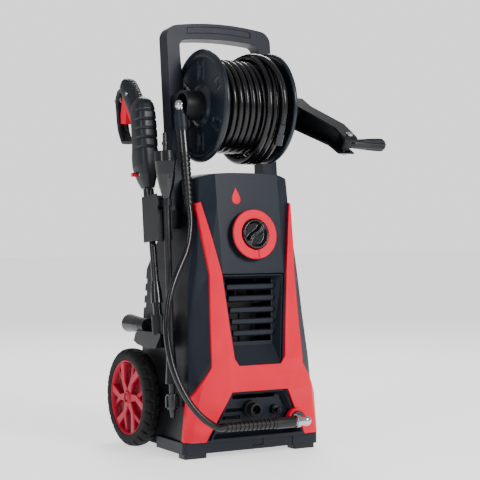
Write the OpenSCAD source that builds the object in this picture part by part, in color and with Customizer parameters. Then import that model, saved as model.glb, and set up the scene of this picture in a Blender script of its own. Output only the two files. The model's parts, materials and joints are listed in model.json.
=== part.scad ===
// Upright electric pressure washer: body shells, hose reel on a carrying frame, wheels, gun and spare lance.
// Millimetres. +X is to the right of someone facing the front, -Y is the front, +Z is up.
// The origin is on the floor, on the middle plane, under the front edge of the base.

/* [Body] */
// Width of the base tray
base_w = 312; // [300:2:330]
// Depth of the base tray
base_d = 246; // [240:2:260]
// Underside of the base tray above the floor
base_lift = 10; // [8:1:12]
// Height of the base tray's side
base_h = 23; // [20:1:25]
// Wall thickness of the body covers
wall = 3; // [2.5:0.5:4]
// Thickness of the red front frame over the cover
fascia_t = 4; // [3:0.5:5]

/* [Frame] */
// Full height of the carrying frame
frame_top = 876; // [864:2:886]
// Outer width of the carrying frame
frame_w = 246; // [244:1:250]
// Depth of the frame's uprights, front to back
frame_d = 34; // [30:1:36]
// Width of each upright
upright_w = 29; // [26:1:32]

/* [Hose reel] */
// Height of the reel's axis
reel_z = 697; // [692:1:702]
// Distance of the reel's axis behind the front of the base
reel_y = 77; // [74:1:80]
// Radius of the two flanges
flange_r = 114; // [110:1:116]
// Width over both flanges
reel_w = 166; // [160:1:167]
// Radius of the drum under the hose
drum_r = 82; // [78:1:84]
// Outside diameter of the high-pressure hose
hose_d = 13; // [12:0.5:13]

/* [Crank] */
// Distance from the reel's axis to the folding pin
crank_l = 150; // [140:2:156]
// Angle of the arm below the horizontal
crank_drop = 30; // [24:1:34]
// Length of the turning grip
grip_l = 76; // [70:2:84]

/* [Wheels] */
// Width over both tyres
track_w = 362; // [360:2:366]
// Diameter of each wheel
wheel_d = 202; // [198:1:204]
// Distance of the axle behind the front of the base
axle_y = 211; // [208:1:216]
// Width of each tyre
tyre_w = 36; // [32:1:37]
// Radius of the axle
axle_r = 6; // [5:0.5:7]

/* [Control] */
// Radius of the black boss behind the switch knob
boss_r = 50.5; // [48:0.5:52]
// Radius of the switch knob
knob_r = 29.5; // [28:0.5:30]

/* [Gun and lances] */
// Lean of the stored gun
gun_lean = 9.5; // [8:0.5:11]
// Lean of the stored spare lance
lance_lean = 3.5; // [3:0.5:4]
// Outside radius of the steel lance tubes
tube_r = 7; // [6:0.5:7.5]
// Distance of the gun and the lance from the middle plane
store_x = 161; // [160:1:164]

/* [Water connections] */
// Radius of the water inlet's stub, the outside of a G 3/4 thread
inlet_r = 13.2; // [13.2:0.1:13.3]
// Radius of the gun's quick-connect inlet
gun_inlet_r = 6; // [5.5:0.5:6.5]

/* [Hidden] */
$fn = 48;
slate = [0.2, 0.22, 0.26];
black = [0.1, 0.1, 0.11];
red = [0.85, 0.16, 0.18];
steel = [0.75, 0.75, 0.77];
// Radial gap of a shaft that turns in its own bearing
run_gap = 0.08;
// Gap between pieces of different moving groups
gap = 0.4;
// Gap between covers that butt on one another
seam = 0.3;
// Extra length of a cutter past the face that it cuts
over = 1;
far = 400;

// ---------------------------------------------------------------- body outline
base_z = base_lift + base_h;
// One row for each level of the body: height, half width of the flat front, front y,
// half width at the fascia edge, y there, half width at the side, y of the side's front edge, rear y
body_levels = [
  [33, 66, -14, 140, -6, 151, 8, 238],
  [130, 66, -24, 124, -12, 141, 6, 240],
  [190, 66, -24, 106, -14, 139, 14, 240],
  [270, 68, -13, 99, -4, 134, 27, 240],
  [365, 70, -2, 97, 7, 128, 39, 236],
  [503, 72, 19, 104, 36, 113, 52, 150],
  [562, 72, 28, 101, 42, 106, 50, 106]
];
rear_corner = 14;
// Half width at the rear, which leaves room for the wheels
rear_half_w = 136;
body_top_z = body_levels[6][0];

// Plan outline of one level, counter-clockwise, moved inwards by t
function body_plan(row, t) =
  let (rear_x = min(row[5] - 1, rear_half_w)) [
    [-row[1] + t, row[2] + t], [row[1] - t, row[2] + t], [row[3] - t, row[4] + t], [row[5] - t, row[6] + t],
    [rear_x - t, row[7] - rear_corner - t], [rear_x - rear_corner - t, row[7] - t],
    [-rear_x + rear_corner + t, row[7] - t], [-rear_x + t, row[7] - rear_corner - t],
    [-row[5] + t, row[6] + t], [-row[3] + t, row[4] + t]
  ];

// Closed solid through plan outlines, one at each height
module loft(plans, heights) {
  n = len(plans[0]);
  m = len(plans);
  bottom = [for (k = [0:n - 1]) k];
  top = [for (k = [n - 1:-1:0]) (m - 1) * n + k];
  sides = [for (i = [0:m - 2]) for (k = [0:n - 1])
    let (a = i * n + k, b = i * n + (k + 1) % n) each [[a, a + n, b + n], [a, b + n, b]]];
  polyhedron(
    points = [for (i = [0:m - 1]) for (p = plans[i]) [p[0], p[1], heights[i]]],
    faces = concat([bottom], sides, [top])
  );
}

// The body's outline, moved inwards by t, with straight pieces added below and above it
module body_solid(t, lower = 0, raise = 0) {
  last = len(body_levels) - 1;
  plans = [for (row = body_levels) body_plan(row, t)];
  levels = [for (i = [0:last]) body_levels[i][0] + (i == last ? min(raise, 0) : 0)];
  foot_plan = lower > 0 ? [plans[0]] : [];
  foot_level = lower > 0 ? [levels[0] - lower] : [];
  cap_plan = raise > 0 ? [plans[last]] : [];
  cap_level = raise > 0 ? [levels[last] + raise] : [];
  intersection() {
    loft(concat(foot_plan, plans, cap_plan), concat(foot_level, levels, cap_level));
    front_extrude(-far, far) body_arch(raise);
  }
}
// Front view of the crowned top
arch_drop = 15;
module body_arch(raise) {
  steps = 8;
  crown = [for (i = [-steps:steps]) [112 * i / steps, body_top_z + raise - arch_drop * pow(abs(i) / steps, 4)]];
  polygon(concat([[-far, 0], [-far, crown[0][1]]], crown, [[far, crown[0][1]], [far, 0]]));
}

// Extrudes an outline drawn in (y, z) along x, from x0 to x1
module side_extrude(x0, x1) {
  translate([x0, 0, 0]) rotate([90, 0, 90]) linear_extrude(x1 - x0) children();
}

// Extrudes an outline drawn in (x, z) along y, from y0 to y1
module front_extrude(y0, y1) {
  translate([0, y1, 0]) rotate([90, 0, 0]) linear_extrude(y1 - y0) children();
}

// A cylinder along x, from x0 to x1, centred on (y, z)
module x_cylinder(x0, x1, r, y = 0, z = 0) {
  translate([x0, y, z]) rotate([0, 90, 0]) cylinder(h = x1 - x0, r = r);
}

// A cylinder along y, from y0 to y1, centred on (x, z)
module y_cylinder(y0, y1, r, x = 0, z = 0) {
  translate([x, y1, z]) rotate([90, 0, 0]) cylinder(h = y1 - y0, r = r);
}

// A tube along z
module ring(r_out, r_in, h) {
  difference() {
    cylinder(h = h, r = r_out);
    translate([0, 0, -over]) cylinder(h = h + 2 * over, r = r_in);
  }
}

// Both sides of the middle plane
module both_sides() {
  children();
  mirror([1, 0, 0]) children();
}

// Line in (y, z) where the front cover meets the rear housing
split_line = [[12, 20], [12, 130], [18, 190], [31, 270], [43, 365], [56, 503], [56, 570]];
module front_half(shift = 0) {
  side_extrude(-far, far)
    polygon(concat([for (p = split_line) [p[0] + shift, p[1]]], [[-200, 570], [-200, 20]]));
}

// ---------------------------------------------------------------- front openings
grille_top_z = 361;
grille_bottom_z = 183;
grille_top_x = 72;
grille_bottom_x = 53;
intake_top_z = 128;
intake_bottom_z = 37;
intake_top_x = 61;
intake_bottom_x = 108;
module grille_outline(inset = 0) {
  offset(delta = -inset) polygon([
    [-grille_bottom_x, grille_bottom_z], [grille_bottom_x, grille_bottom_z],
    [grille_top_x, grille_top_z], [-grille_top_x, grille_top_z]
  ]);
}
module intake_outline(inset = 0) {
  offset(delta = -inset) polygon([
    [-intake_bottom_x, intake_bottom_z], [intake_bottom_x, intake_bottom_z],
    [intake_top_x, intake_top_z], [-intake_top_x, intake_top_z]
  ]);
}

// The switch axis is square to the panel and goes through it at this height
panel_slope = (body_levels[5][2] - body_levels[4][2]) / (body_levels[5][0] - body_levels[4][0]);
panel_lean = atan(panel_slope);
knob_z = 437;
knob_y = body_levels[4][2] + (knob_z - body_levels[4][0]) * panel_slope;
module on_panel() {
  translate([0, knob_y, knob_z]) rotate([90 - panel_lean, 0, 0]) children();
}
shaft_r = 4;
boss_h = 14;
ring_h = 4;

// ---------------------------------------------------------------- frame and reel places
frame_lean = 6;
frame_foot_z = 470;
frame_pivot_y = 110;
frame_pivot_z = 580;
function frame_front_y(z) = frame_pivot_y + (z - frame_pivot_z) * tan(frame_lean);
upright_in = frame_w / 2 - upright_w;
reel_x = 1;
reel_left = reel_x - reel_w / 2;
reel_right = reel_x + reel_w / 2;
rim_t = 12;
journal_r = 10;
journal_bore = 5.3;
hub_r = 30;
hub_left = -121;
hub_right = 119;
module on_reel_axis() {
  translate([0, reel_y, reel_z]) children();
}

// ---------------------------------------------------------------- gun and lance places
gun_x = -store_x;
gun_y = 143;
gun_z = 520;
// Frame of the stored gun: z runs up along the barrel and y towards the back
module on_gun() {
  translate([gun_x, gun_y, gun_z]) rotate([-gun_lean, 0, 0]) children();
}
lance_y = 38;
lance_z = 80;
module on_lance() {
  translate([-store_x, lance_y, lance_z]) rotate([-lance_lean, 0, 0]) children();
}

// ================================================================ base
axle_z = wheel_d / 2;
axle_boss_r = 15;
foot_x = 126;
foot_w = 50;

module base_tray() color(slate) {
  difference() {
    union() {
      translate([0, 0, base_lift]) linear_extrude(base_h) tray_plan(0);
      both_sides() axle_boss();
    }
    translate([0, 0, base_lift - over]) linear_extrude(base_h - wall + over) tray_plan(wall);
    x_cylinder(-far, far, axle_r + run_gap, axle_y, axle_z);
    translate([-2, -over, base_lift + 7]) cube([26, over + 2, base_h]);
    translate([54, -over, base_lift - over]) cube([40, over + 2, base_h - 4]);
  }
  both_sides() translate([foot_x - foot_w / 2, wall - 1, base_lift]) cube([foot_w, 36, base_h - 1]);
}
tray_r = 10;
tray_step_y = 128;
module tray_plan(inset) {
  offset(r = tray_r - inset) offset(delta = -tray_r) {
    translate([-base_w / 2, 0]) square([base_w, tray_step_y]);
    translate([-rear_half_w - 2, 0]) square([2 * rear_half_w + 4, base_d]);
  }
}
// Upright plate inside the body that carries the axle
boss_in = 120;
boss_out = 132;
module axle_boss() {
  intersection() {
    side_extrude(boss_in, boss_out) polygon([
      [axle_y - 34, base_z - 2], [axle_y + 20, base_z - 2], [axle_y + axle_boss_r, axle_z + axle_boss_r],
      [axle_y - axle_boss_r, axle_z + axle_boss_r]
    ]);
    body_solid(wall + seam, 20, -wall);
  }
}

module front_feet() color(black) {
  both_sides() translate([foot_x - foot_w / 2, 6, 0]) {
    linear_extrude(base_lift) offset(r = 5) translate([5, 5]) square([foot_w - 10, 20]);
  }
}

// ================================================================ covers
module rear_housing() color(black) {
  difference() {
    body_solid(0);
    body_solid(wall, 20, -wall);
    front_half(seam);
    both_sides() frame_socket();
    both_sides() rear_louvers();
    x_cylinder(-far, far, axle_r + 2, axle_y, axle_z);
    translate([0, 0, body_top_z - 10]) linear_extrude(20) top_slot();
    y_cylinder(200, 260, gland_r + 0.2, gland_x, gland_z);
  }
}
gland_r = 9;
gland_x = 60;
gland_z = 150;
// Shallow carrying recess in the top of the housing
module top_slot() {
  offset(r = 4) square([60, 2], center = true);
}
// Space for the foot of the carrying frame
module frame_socket() {
  frame_space(0.3);
}
louver_pitch = 25;
module rear_louvers() {
  for (i = [0:5]) translate([123, 229, 215 + i * louver_pitch])
    rotate([0, 0, 45]) cube([9, 30, 10], center = true);
}

module front_cover() color(slate) {
  difference() {
    body_solid(0);
    body_solid(wall, 20, -wall);
    difference() {
      translate([-far, -far, 0]) cube([2 * far, 2 * far, 2 * far]);
      front_half(-seam);
    }
    front_extrude(-60, 60) grille_outline();
    front_extrude(-60, 30) intake_outline();
    y_cylinder(-60, 40, outlet_hole_r, outlet_x, outlet_z);
    on_panel() translate([0, 0, -20]) cylinder(h = 40, r = shaft_r + 1);
  }
}

// Front frame: two legs, a cross bar and two feet, drawn as half outlines
leg_top_z = 503;
module fascia_outline() {
  half = [
    [103, leg_top_z], [112, leg_top_z - 3], [98, 360], [105, 180], [160, 92], [160, base_z + 1],
    [114, base_z + 1], [64, 130]
  ];
  other = [for (i = [len(half) - 1:-1:0]) [-half[i][0], half[i][1]]];
  inner = [[-75, 363], [-58, 195], [-48, 181], [48, 181], [58, 195], [75, 363]];
  polygon(concat(half, other, inner));
}
module red_fascia() color(red) {
  difference() {
    union() {
      intersection() {
        body_solid(-fascia_t);
        front_extrude(-60, 95) fascia_outline();
        side_extrude(-far, far) polygon([[-60, 30], [16, 30], [16, 190], [30, 300], [75, 520], [-60, 520]]);
      }
      outlet_arch();
    }
    body_solid(-seam / 3, 20, 20);
    y_cylinder(-60, 60, outlet_hole_r, outlet_x, outlet_z);
  }
}
// Arched collar over the water outlet
outlet_hole_r = 16;
module outlet_arch() {
  intersection() {
    y_cylinder(-30, -8, outlet_hole_r + 5, outlet_x, outlet_z);
    translate([outlet_x - 30, -40, outlet_z]) cube([60, 40, 40]);
  }
}

// Recessed tray with horizontal louvres
grille_depth = 24;
slat_pitch = 24.5;
module upper_grille() color(black) {
  front_lean = 7.2;
  translate([0, -24, grille_bottom_z]) rotate([-front_lean, 0, 0]) translate([0, 0, -grille_bottom_z]) {
    difference() {
      hull() {
        front_extrude(4, 6) grille_outline(seam);
        front_extrude(grille_depth, grille_depth + 2) grille_pan(-2);
      }
      hull() {
        front_extrude(4 - over, 5) grille_outline(3);
        front_extrude(grille_depth - 2, grille_depth - 1) grille_pan(0);
      }
      for (i = [0:5]) front_extrude(grille_depth - 8, grille_depth + 8) grille_slot(i);
    }
    for (i = [0:4]) grille_slat(i);
  }
}
module grille_pan(inset) {
  offset(delta = -inset) polygon([[-48, 222], [46, 222], [56, 352], [-56, 352]]);
}
module grille_slot(i) {
  half = 44 + i * 2;
  translate([-half, 229 + i * (slat_pitch - 1.5)]) square([2 * half, 10]);
}
module grille_slat(i) {
  half = 46 + i * 2;
  side_extrude(-half, half) polygon([
    [grille_depth - 1, 239.5 + i * (slat_pitch - 1.5)], [grille_depth - 7, 241 + i * (slat_pitch - 1.5)],
    [grille_depth - 10, 249 + i * (slat_pitch - 1.5)], [grille_depth - 8, 251 + i * (slat_pitch - 1.5)],
    [grille_depth - 1, 251.5 + i * (slat_pitch - 1.5)]
  ]);
}

// Lower recess with bars, the water connections come out through it
intake_depth = 20;
outlet_x = 86;
outlet_z = 68;
inlet_x = -12;
inlet_z = 93;
nipple_x = 44;
nipple_z = 88;
module lower_grille() color(black) {
  difference() {
    hull() {
      front_extrude(-20, -18) intake_outline(seam);
      front_extrude(intake_depth - 22, intake_depth - 20) intake_outline(8);
    }
    hull() {
      front_extrude(-20 - over, -19) intake_outline(3);
      front_extrude(intake_depth - 26, intake_depth - 25) intake_outline(11);
    }
    front_extrude(-20, 20) translate([-50, 113]) square([96, 8]);
    for (i = [0:2]) front_extrude(-20, 20) translate([-70 - i * 5, 88 - i * 14]) square([42, 7]);
    for (i = [0:1]) front_extrude(-20, 20) translate([10, 60 - i * 12]) square([44, 6]);
    y_cylinder(-40, 40, inlet_r + 3 + seam, inlet_x, inlet_z);
    y_cylinder(-40, 40, 9, nipple_x, nipple_z);
    y_cylinder(-40, 40, 17.5, outlet_x, outlet_z);
    y_cylinder(-40, -7, outlet_hole_r + 5 + seam, outlet_x, outlet_z);
  }
}

// Screws that hold the rear housing to the base and the frame
module housing_screws() color(steel) {
  frame_back = frame_d / cos(frame_lean);
  both_sides() for (z = [590, 655]) translate([108, frame_front_y(z) + frame_back, z])
    rotate([-90 - frame_lean, 0, 0]) screw(4, 3);
  both_sides() for (z = [150, 320]) translate([100, 240, z]) rotate([-90, 0, 0]) screw(4, 2.5);
}
module screw(r, h) {
  difference() {
    cylinder(h = h, r1 = r, r2 = r * 0.75);
    translate([0, 0, h - 1.5]) cylinder(h = 2, r = r * 0.45, $fn = 6);
  }
}

// ================================================================ switch
module knob_boss() color(black) {
  on_panel() difference() {
    cylinder(h = boss_h, r = boss_r);
    translate([0, 0, boss_h - 8]) cylinder(h = 10, r = knob_r + 1.5);
    translate([0, 0, -10]) cylinder(h = 30, r = shaft_r + 0.4);
  }
}
module knob_ring() color(red) {
  on_panel() translate([0, 0, boss_h]) difference() {
    union() {
      cylinder(h = ring_h - 1.5, r = boss_r - 0.5);
      translate([0, 0, ring_h - 1.5]) cylinder(h = 1.5, r1 = boss_r - 0.5, r2 = boss_r - 2);
    }
    translate([0, 0, -over]) cylinder(h = ring_h + 2 * over, r = knob_r + 1.5);
  }
}
lever_w = 11;
lever_h = 20;
module switch_knob() color(black) {
  on_panel() {
    translate([0, 0, boss_h - 7.5]) cylinder(h = 13, r = knob_r);
    translate([0, 0, boss_h - 7.5]) intersection() {
      rotate([0, 0, -40]) translate([-lever_w / 2, -knob_r, 0]) cube([lever_w, 2 * knob_r, lever_h]);
      cylinder(h = lever_h, r = knob_r - 1);
    }
    translate([0, 0, -22]) cylinder(h = 24 + boss_h - 7.5, r = shaft_r);
  }
}
module switch_box() color(black) {
  on_panel() difference() {
    translate([-24, -30, -50]) cube([48, 60, 42]);
    translate([0, 0, -30]) cylinder(h = 30, r = shaft_r + run_gap);
  }
}

// ================================================================ works inside the body
motor_y = 120;
motor_r = 62;
motor_z0 = 130;
motor_z1 = 300;
rotor_r = 34;
motor_shaft_r = 7;
module motor_body() color(steel) {
  translate([0, motor_y, 0]) {
    difference() {
      translate([0, 0, motor_z0]) cylinder(h = motor_z1 - motor_z0, r = motor_r);
      translate([0, 0, motor_z0 + 8]) cylinder(h = motor_z1 - motor_z0 - 16, r = rotor_r + 1);
      translate([0, 0, motor_z0 - over]) cylinder(h = motor_z1, r = motor_shaft_r + run_gap);
    }
    for (a = [0:45:315]) rotate([0, 0, a]) translate([motor_r - 1, -1.5, motor_z0 + 20]) cube([7, 3, 130]);
  }
}
module motor_rotor() color(steel) {
  translate([0, motor_y, 0]) {
    translate([0, 0, motor_z0 - 14]) cylinder(h = motor_z1 - motor_z0 + 50, r = motor_shaft_r);
    translate([0, 0, motor_z0 + 16]) cylinder(h = motor_z1 - motor_z0 - 32, r = rotor_r);
    translate([0, 0, motor_z1 + 10]) cylinder(h = 3, r = 50);
    for (a = [0:45:315]) rotate([0, 0, a]) translate([14, -1, motor_z1 + 12.5]) cube([34, 2, 16]);
  }
}
module pump_head() color(steel) {
  translate([0, motor_y, 0]) difference() {
    union() {
      translate([0, 0, base_z + 4]) cylinder(h = motor_z0 - base_z - 4, r = 54);
      translate([-40, -76, base_z + 12]) cube([80, 50, 62]);
      for (a = [-1, 0, 1]) translate([a * 36, 0, base_z]) cylinder(h = 6, r = 10);
    }
    translate([0, 0, motor_z0 - 40]) cylinder(h = 50, r = 30);
  }
}
module capacitor() color(black) {
  translate([82, 150, 200]) cylinder(h = 90, r = 20);
  translate([82, 150, 196]) ring(23, 20.1, 30);
  translate([62, 140, 196]) cube([4, 20, 30]);
}
module cable_gland() color(black) {
  difference() {
    union() {
      y_cylinder(236.8, 254, gland_r, gland_x, gland_z);
      y_cylinder(240.2, 246, 13, gland_x, gland_z);
      y_cylinder(231, 236.8, 13, gland_x, gland_z);
    }
    y_cylinder(200, 260, 4.5, gland_x, gland_z);
  }
}

// ================================================================ carrying frame
// Front outline of the frame, flat, before it leans back
frame_corner = 26;
module frame_outline() {
  top = frame_top - frame_pivot_z;
  foot = frame_foot_z - frame_pivot_z;
  difference() {
    frame_round(frame_w / 2, top, frame_corner, foot, 12);
    frame_window(upright_in, top - 33, foot);
  }
}
// Inner outline: uprights widen towards the foot
upright_flare = 6;
module frame_window(w, h, foot) {
  offset(r = 14) offset(delta = -14) polygon(concat(
    [[-w + upright_flare, foot - 60], [w - upright_flare, foot - 60], [w - upright_flare, 120], [w, 225]],
    [for (i = [0:8]) [w * (1 - i / 4), h - 6 * pow(1 - i / 4, 2)]],
    [[-w, 225], [-w + upright_flare, 120]]
  ));
}
// Half-width w, arched top at height h, foot at height low
module frame_round(w, h, r, low, arch) {
  offset(r = r) offset(delta = -r) polygon(concat(
    [[-w, low], [w, low], [w, h - arch]],
    [for (i = [1:7]) [w * (1 - i / 4), h - arch * pow(1 - i / 4, 2)]],
    [[-w, h - arch]]
  ));
}
module lean_frame() {
  translate([0, frame_pivot_y, frame_pivot_z]) rotate([-frame_lean, 0, 0]) children();
}
module handle_frame() color(slate) {
  lean_frame() front_extrude(0, frame_d) frame_outline();
}
module frame_space(clear) {
  lean_frame() translate([upright_in - upright_flare - clear, -clear, frame_foot_z - frame_pivot_z - clear])
    cube([upright_w + upright_flare + 2 * clear, frame_d + 2 * clear, 120]);
}

// Bearing housings of the reel, screwed to the front of the uprights
arm_h = 46;
module reel_bracket_left() color(black) {
  difference() {
    union() {
      on_reel_axis() x_cylinder(hub_left, reel_left - 1.5, hub_r);
      bracket_arm(hub_left + 3, -96);
    }
    on_reel_axis() x_cylinder(hub_left - over, -100, hub_r - 6);
    on_reel_axis() x_cylinder(hub_left, 0, journal_r + run_gap);
    on_drop() cylinder(h = 60, r = 15);
  }
}
module reel_bracket_right() color(black) {
  difference() {
    union() {
      on_reel_axis() x_cylinder(reel_right + 1.5, hub_right, 24);
      bracket_arm(96, hub_right - 1);
    }
    on_reel_axis() x_cylinder(0, hub_right + over, journal_r + run_gap);
  }
}
module bracket_arm(x0, x1) {
  back = frame_front_y(reel_z) - 0.2;
  lean = arm_h / 2 * tan(frame_lean);
  side_extrude(x0, x1) polygon([
    [reel_y + 12, reel_z - arm_h / 2], [back - lean, reel_z - arm_h / 2], [back + lean, reel_z + arm_h / 2],
    [reel_y + 12, reel_z + arm_h / 2]
  ]);
}

// ================================================================ reel
module reel_core() color(black) {
  on_reel_axis() rotate([0, 90, 0]) difference() {
    rotate_extrude() polygon([
      [journal_bore, -100], [journal_r, -100], [journal_r, reel_left + 8], [drum_r, reel_left + 8],
      [drum_r, reel_right - 8], [journal_r, reel_right - 8], [journal_r, crank_root + 26],
      [0, crank_root + 26], [0, reel_right - 14], [drum_r - 4, reel_right - 14],
      [drum_r - 4, reel_left + 14], [journal_bore, reel_left + 14]
    ]);
    for (a = [0:60:300]) rotate([0, 0, a]) translate([46, 0, -far]) cylinder(h = 2 * far, r = 15);
  }
}
// Dished flange: rim, sloping web and hub ring; the drum's end sits against it
module flange_profile() {
  polygon([
    [journal_r, -1], [38, -1], [44, 4], [flange_r - 14, 4], [flange_r - 12, 0], [flange_r - 2, 0],
    [flange_r, 2], [flange_r, rim_t - 3], [flange_r - 3, rim_t], [flange_r - 6, rim_t], [flange_r - 8, 8], [journal_r, 8]
  ]);
}
module flange_slots() {
  for (a = [30:60:330]) rotate([0, 0, a]) translate([62, -5, -far]) cube([16, 10, 2 * far]);
}
module reel_flange_left() color(slate) {
  on_reel_axis() translate([reel_left, 0, 0]) rotate([0, 90, 0]) difference() {
    rotate_extrude() flange_profile();
    flange_slots();
  }
}
module reel_flange_right() color(slate) {
  on_reel_axis() translate([reel_right, 0, 0]) rotate([0, -90, 0]) difference() {
    rotate_extrude() flange_profile();
    flange_slots();
  }
}
// Outer shape of the wound hose: an even first layer and a looser second one on the right
hose_in = reel_left + rim_t + 0.5;
hose_out = reel_right - rim_t - 0.5;
step_x = 6;
loose_drop = 4;
module reel_hose() color(black) {
  first_r = drum_r + hose_d;
  loose_r = first_r + hose_d + 4;
  on_reel_axis() rotate([0, 90, 0]) rotate_extrude() polygon([
    [drum_r, hose_in], [first_r, hose_in], [first_r, hose_out], [drum_r, hose_out]
  ]);
  on_reel_axis() translate([0, 0, -loose_drop]) rotate([0, 90, 0]) rotate_extrude() polygon([
    [first_r - 3, step_x], [loose_r, step_x + 12], [loose_r, hose_out - 1], [first_r - 3, hose_out - 1]
  ]);
}
// Free end of the long hose, tucked against the winding at the front of the reel
coupling_angle = 205;
coupling_r = 8.5;
module hose_coupling() color(steel) {
  on_reel_axis() rotate([coupling_angle, 0, 0]) translate([44, drum_r + 2 * hose_d + 14.6, 6]) difference() {
    union() {
      cylinder(h = 24, r = coupling_r);
      translate([0, 0, -20]) cylinder(h = 21, r = coupling_r - 1.5);
    }
    translate([0, 0, 6]) cylinder(h = 30, r = 6.2);
  }
}

// ================================================================ link between the pump and the reel
drop_lean = 10.5;
swivel_x = -124;
module on_drop() {
  translate([swivel_x, reel_y, reel_z]) rotate([180 - drop_lean, 0, 0]) children();
}
nut_z = 11;
sleeve_z = 54;
relief_z = 99;
drop_end = 205;
module hub_swivel() color(steel) {
  difference() {
    union() {
      on_reel_axis() x_cylinder(swivel_x, -101, 9.5);
      on_reel_axis() x_cylinder(swivel_x, -72, journal_bore - run_gap);
      on_reel_axis() translate([swivel_x, 0, 0]) sphere(r = 11);
      on_drop() cylinder(h = nut_z, r = 9);
    }
    on_drop() cylinder(h = nut_z + over, r = 4);
    on_reel_axis() x_cylinder(swivel_x, -70, 3);
  }
}
module hose_nut() color(slate) {
  on_drop() difference() {
    union() {
      translate([0, 0, nut_z]) cylinder(h = 9, r = 11.5);
      translate([0, 0, nut_z + 9]) cylinder(h = 28, r = 14);
      translate([0, 0, nut_z + 37]) cylinder(h = 6, r = 12.5);
    }
    cylinder(h = 80, r = 4);
  }
}
module hose_sleeve() color(black) {
  on_drop() {
    translate([0, 0, sleeve_z]) cylinder(h = 4, r = 12);
    translate([0, 0, sleeve_z + 4]) cylinder(h = relief_z - sleeve_z - 4, r = 11.5);
  }
}
// Ribbed boot over the hose, tapering away from its fitting
module relief_boot(length, r_start, r_end, ribs) {
  pitch = length / ribs;
  groove = 1.6;
  cylinder(h = length, r1 = r_start - groove, r2 = r_end - groove);
  for (i = [0:ribs - 1]) {
    r = r_start + (r_end - r_start) * i / ribs;
    translate([0, 0, i * pitch]) cylinder(h = pitch * 0.68, r = r);
  }
}
module upper_relief() color(black) {
  on_drop() translate([0, 0, relief_z]) relief_boot(drop_end - relief_z, 11, 8.6, 11);
}
low_y = -60;
low_z = 68;
low_start = -99;
low_sleeve = 14;
low_elbow = 58;
module lower_relief() color(black) {
  translate([low_sleeve, low_y, low_z]) rotate([0, -90, 0]) relief_boot(low_sleeve - low_start, 10.5, 8.4, 12);
  x_cylinder(low_sleeve, low_elbow, 11.5, low_y, low_z);
}
module outlet_elbow() color(steel) {
  x_cylinder(low_elbow, outlet_x, 9, low_y, low_z);
  x_cylinder(low_elbow + 4, low_elbow + 12, 12, low_y, low_z);
  translate([outlet_x, low_y, low_z]) sphere(r = 11);
  y_cylinder(low_y, -34, 9, outlet_x, low_z);
}
module outlet_union() color(black) {
  y_cylinder(-34, -22, 15.5, outlet_x, outlet_z);
  y_cylinder(-22, 8, 12.5, outlet_x, outlet_z);
}

// Swept tube along hand-set points: a ring of corners round each point, square to the path there
hose_route = [
  [-124, 39.6, 495.2], [-124, 34, 464], [-130, 28, 432], [-140, 22, 405], [-156, 16, 378], [-172, 10, 350],
  [-185, 5, 318], [-193, 0, 283], [-196, -5, 250], [-195, -12, 217], [-191, -20, 186], [-184, -29, 158],
  [-174, -38, 132], [-161, -46, 109], [-145, -53, 90], [-127, -58, 76], [-112, -60, 68], [-99, -60, 68]
];
tube_sides = 10;
function unit(v) = v / norm(v);
function heading(route, i) = unit(route[min(i + 1, len(route) - 1)] - route[max(i - 1, 0)]);
function ring_points(route, i, r) =
  let (d = heading(route, i), u = unit(cross(d, [0.3, 1, 0.2])), v = cross(d, u))
  [for (k = [0:tube_sides - 1]) route[i] + r * (u * cos(360 * k / tube_sides) + v * sin(360 * k / tube_sides))];
module swept_tube(route, r) {
  n = tube_sides;
  m = len(route);
  start_cap = [for (k = [0:n - 1]) k];
  end_cap = [for (k = [n - 1:-1:0]) (m - 1) * n + k];
  skin = [for (i = [0:m - 2]) for (k = [0:n - 1])
    let (a = i * n + k, b = i * n + (k + 1) % n) each [[a, a + n, b + n], [a, b + n, b]]];
  polyhedron(
    points = [for (i = [0:m - 1]) each ring_points(route, i, r)],
    faces = concat([start_cap], skin, [end_cap])
  );
}
module link_hose() color(black) swept_tube(hose_route, hose_d / 2);

// ================================================================ water connections
module water_inlet() color(black) {
  difference() {
    union() {
      y_cylinder(-34, -16, inlet_r, inlet_x, inlet_z);
      y_cylinder(-16, 6, inlet_r + 3, inlet_x, inlet_z);
    }
    y_cylinder(-40, -6, 9, inlet_x, inlet_z);
  }
  difference() {
    y_cylinder(-22, -5, 8, inlet_x, inlet_z);
    y_cylinder(-40, -10, 6, inlet_x, inlet_z);
  }
}
module detergent_nipple() color(steel) {
  difference() {
    union() {
      y_cylinder(-30, 4, 4, nipple_x, nipple_z);
      y_cylinder(-14, 4, 8, nipple_x, nipple_z);
      for (i = [0:2]) translate([nipple_x, -20 - i * 3.4, nipple_z])
        rotate([90, 0, 0]) cylinder(h = 3, r1 = 5.2, r2 = 4.2);
    }
    y_cylinder(-40, 0, 2, nipple_x, nipple_z);
  }
}

// ================================================================ crank
crank_root = 125;
arm_root_r = 27;
arm_tip_r = 20;
pin_x = 189;
pin_r = 4;
// Frame of the arm: -y runs along the arm, x is the machine's x, z is across the arm
module on_arm() {
  on_reel_axis() rotate([crank_drop, 0, 0]) children();
}
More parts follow.
